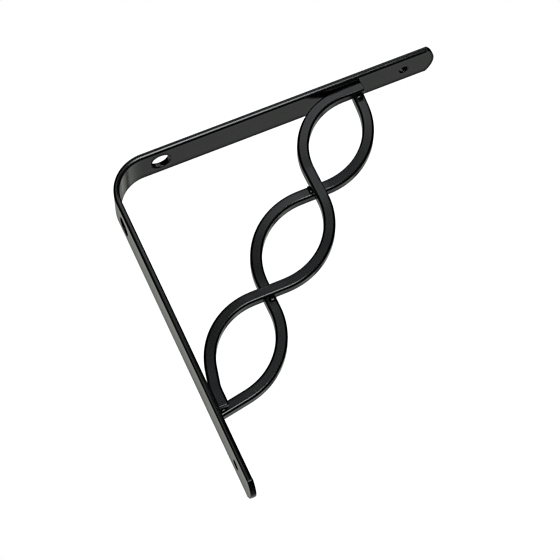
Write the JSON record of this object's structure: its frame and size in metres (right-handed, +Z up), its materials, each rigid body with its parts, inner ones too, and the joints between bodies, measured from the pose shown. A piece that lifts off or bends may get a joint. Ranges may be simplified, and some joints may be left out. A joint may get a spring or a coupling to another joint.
{
  "type": "shelf bracket",
  "caption": "Black steel shelf bracket: a flat bar bent into a wall arm and a shelf arm, braced by wavy square rods that cross and form open loops.",
  "frame": {"origin": "on the wall arm's outer flat face, on its middle line, halfway between its two screw holes", "axes": "+X away from the wall along the shelf arm, +Z up, -Y towards the front rod's side, which the picture shows"},
  "size_m": [0.19, 0.02, 0.19],
  "materials": {
    "powder_coat": "semi-gloss black powder coat with a very fine orange peel, unworn"
  },
  "bodies": {
    "root": {"strap": "powder_coat", "front_rod": "powder_coat", "back_rod": "powder_coat"}
  },
  "joints": []
}
